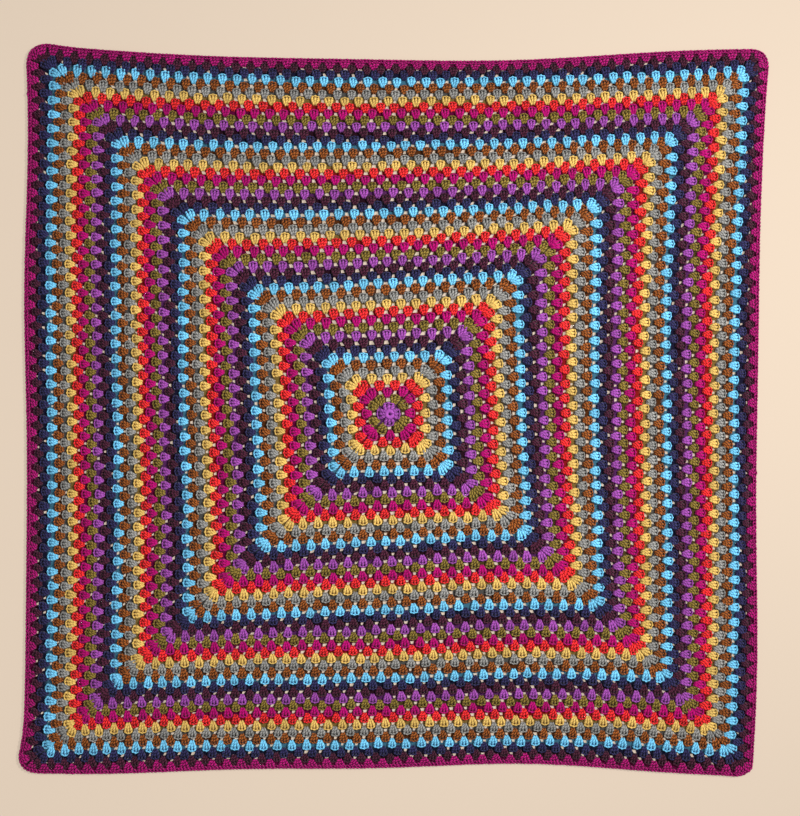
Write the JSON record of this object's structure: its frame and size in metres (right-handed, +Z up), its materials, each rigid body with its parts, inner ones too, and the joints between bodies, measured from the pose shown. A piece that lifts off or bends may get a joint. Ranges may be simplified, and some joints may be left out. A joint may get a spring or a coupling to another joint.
{
  "type": "granny square blanket",
  "caption": "Crocheted blanket lying flat: a big granny square of narrow coloured rounds of treble clusters, worked outwards from its centre to a plain border with drawn-in sides.",
  "frame": {"origin": "middle of the blanket's box, on the surface that it lies on", "axes": "+Z up out of the cloth, +X to the right and +Y to the top of the blanket as pictured from above"},
  "size_m": [1.1476, 1.1244, 0.0042],
  "materials": {
    "magenta_yarn": "matt crocheted yarn, the border and every tenth round",
    "violet_yarn": "matt crocheted yarn, the first round of each colour repeat",
    "olive_yarn": "matt crocheted yarn",
    "red_yarn": "matt crocheted yarn",
    "gold_yarn": "matt crocheted yarn",
    "grey_yarn": "matt crocheted yarn",
    "brown_yarn": "matt crocheted yarn",
    "sky_blue_yarn": "matt crocheted yarn",
    "navy_yarn": "matt crocheted yarn",
    "aubergine_yarn": "matt crocheted yarn"
  },
  "bodies": {
    "root": {"blanket": "magenta_yarn"}
  },
  "joints": []
}
